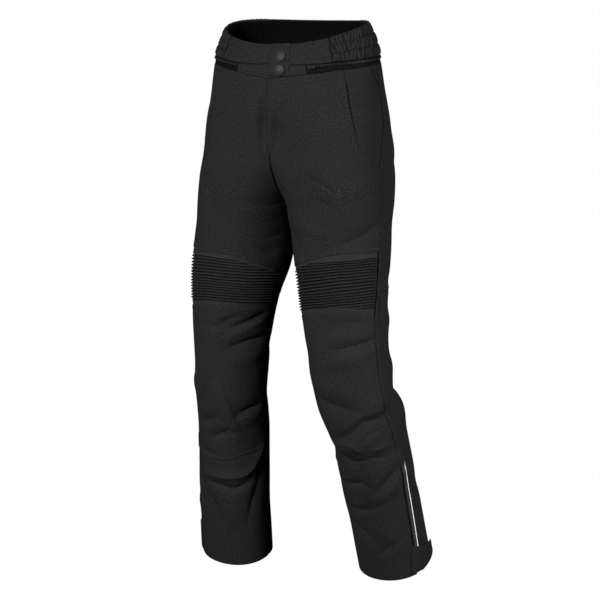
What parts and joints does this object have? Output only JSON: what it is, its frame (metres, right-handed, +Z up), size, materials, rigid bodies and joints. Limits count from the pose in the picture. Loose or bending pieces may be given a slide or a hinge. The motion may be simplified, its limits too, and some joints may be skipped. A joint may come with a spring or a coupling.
{
  "type": "motorcycle trousers",
  "caption": "Black textile riding trousers in worn form, with ribbed stretch panels over the knees, elastic waist sides, front tab with snaps, slanted pockets and ankle zips.",
  "frame": {"origin": "middle of the waist opening, level with the waistband, where the waist holds the trousers up", "axes": "+Z up along the body, -Y to the front of the wearer, +X to the wearer's left"},
  "size_m": [0.4597, 0.2941, 1.0777],
  "materials": {
    "textile": "matt coated polyester weave",
    "back_textile": "matt polyester weave",
    "stretch": "matt stretch cloth",
    "mesh": "knitted mesh lining",
    "zip_tape": "woven tape with plastic teeth",
    "reflective": "reflective piping",
    "metal": "gunmetal"
  },
  "bodies": {
    "root": {"front_panel_left": "textile", "pocket_side_left": "textile", "seat_panel_left": "back_textile", "calf_panel_left": "back_textile", "knee_rib_left": "stretch", "knee_panel_left": "textile", "shin_panel_left": "textile", "ankle_zip_left": "zip_tape", "ankle_piping_left": "reflective", "zip_cap_left": "textile", "hem_strap_left": "textile", "waistband_front_left": "textile", "waistband_elastic_left": "stretch", "waist_strip_left": "textile", "front_panel_right": "textile", "pocket_side_right": "textile", "seat_panel_right": "back_textile", "calf_panel_right": "back_textile", "knee_rib_right": "stretch", "knee_panel_right": "textile", "shin_panel_right": "textile", "ankle_zip_right": "zip_tape", "ankle_piping_right": "reflective", "zip_cap_right": "textile", "hem_strap_right": "textile", "waistband_front_right": "textile", "waistband_elastic_right": "stretch", "waist_strip_right": "textile", "waistband_back": "textile", "jacket_zip": "zip_tape", "waist_lining": "mesh", "fly_flap": "textile", "waist_tab": "textile", "snap_upper": "metal", "snap_lower": "metal", "jacket_zip_slider": "metal"}
  },
  "joints": []
}
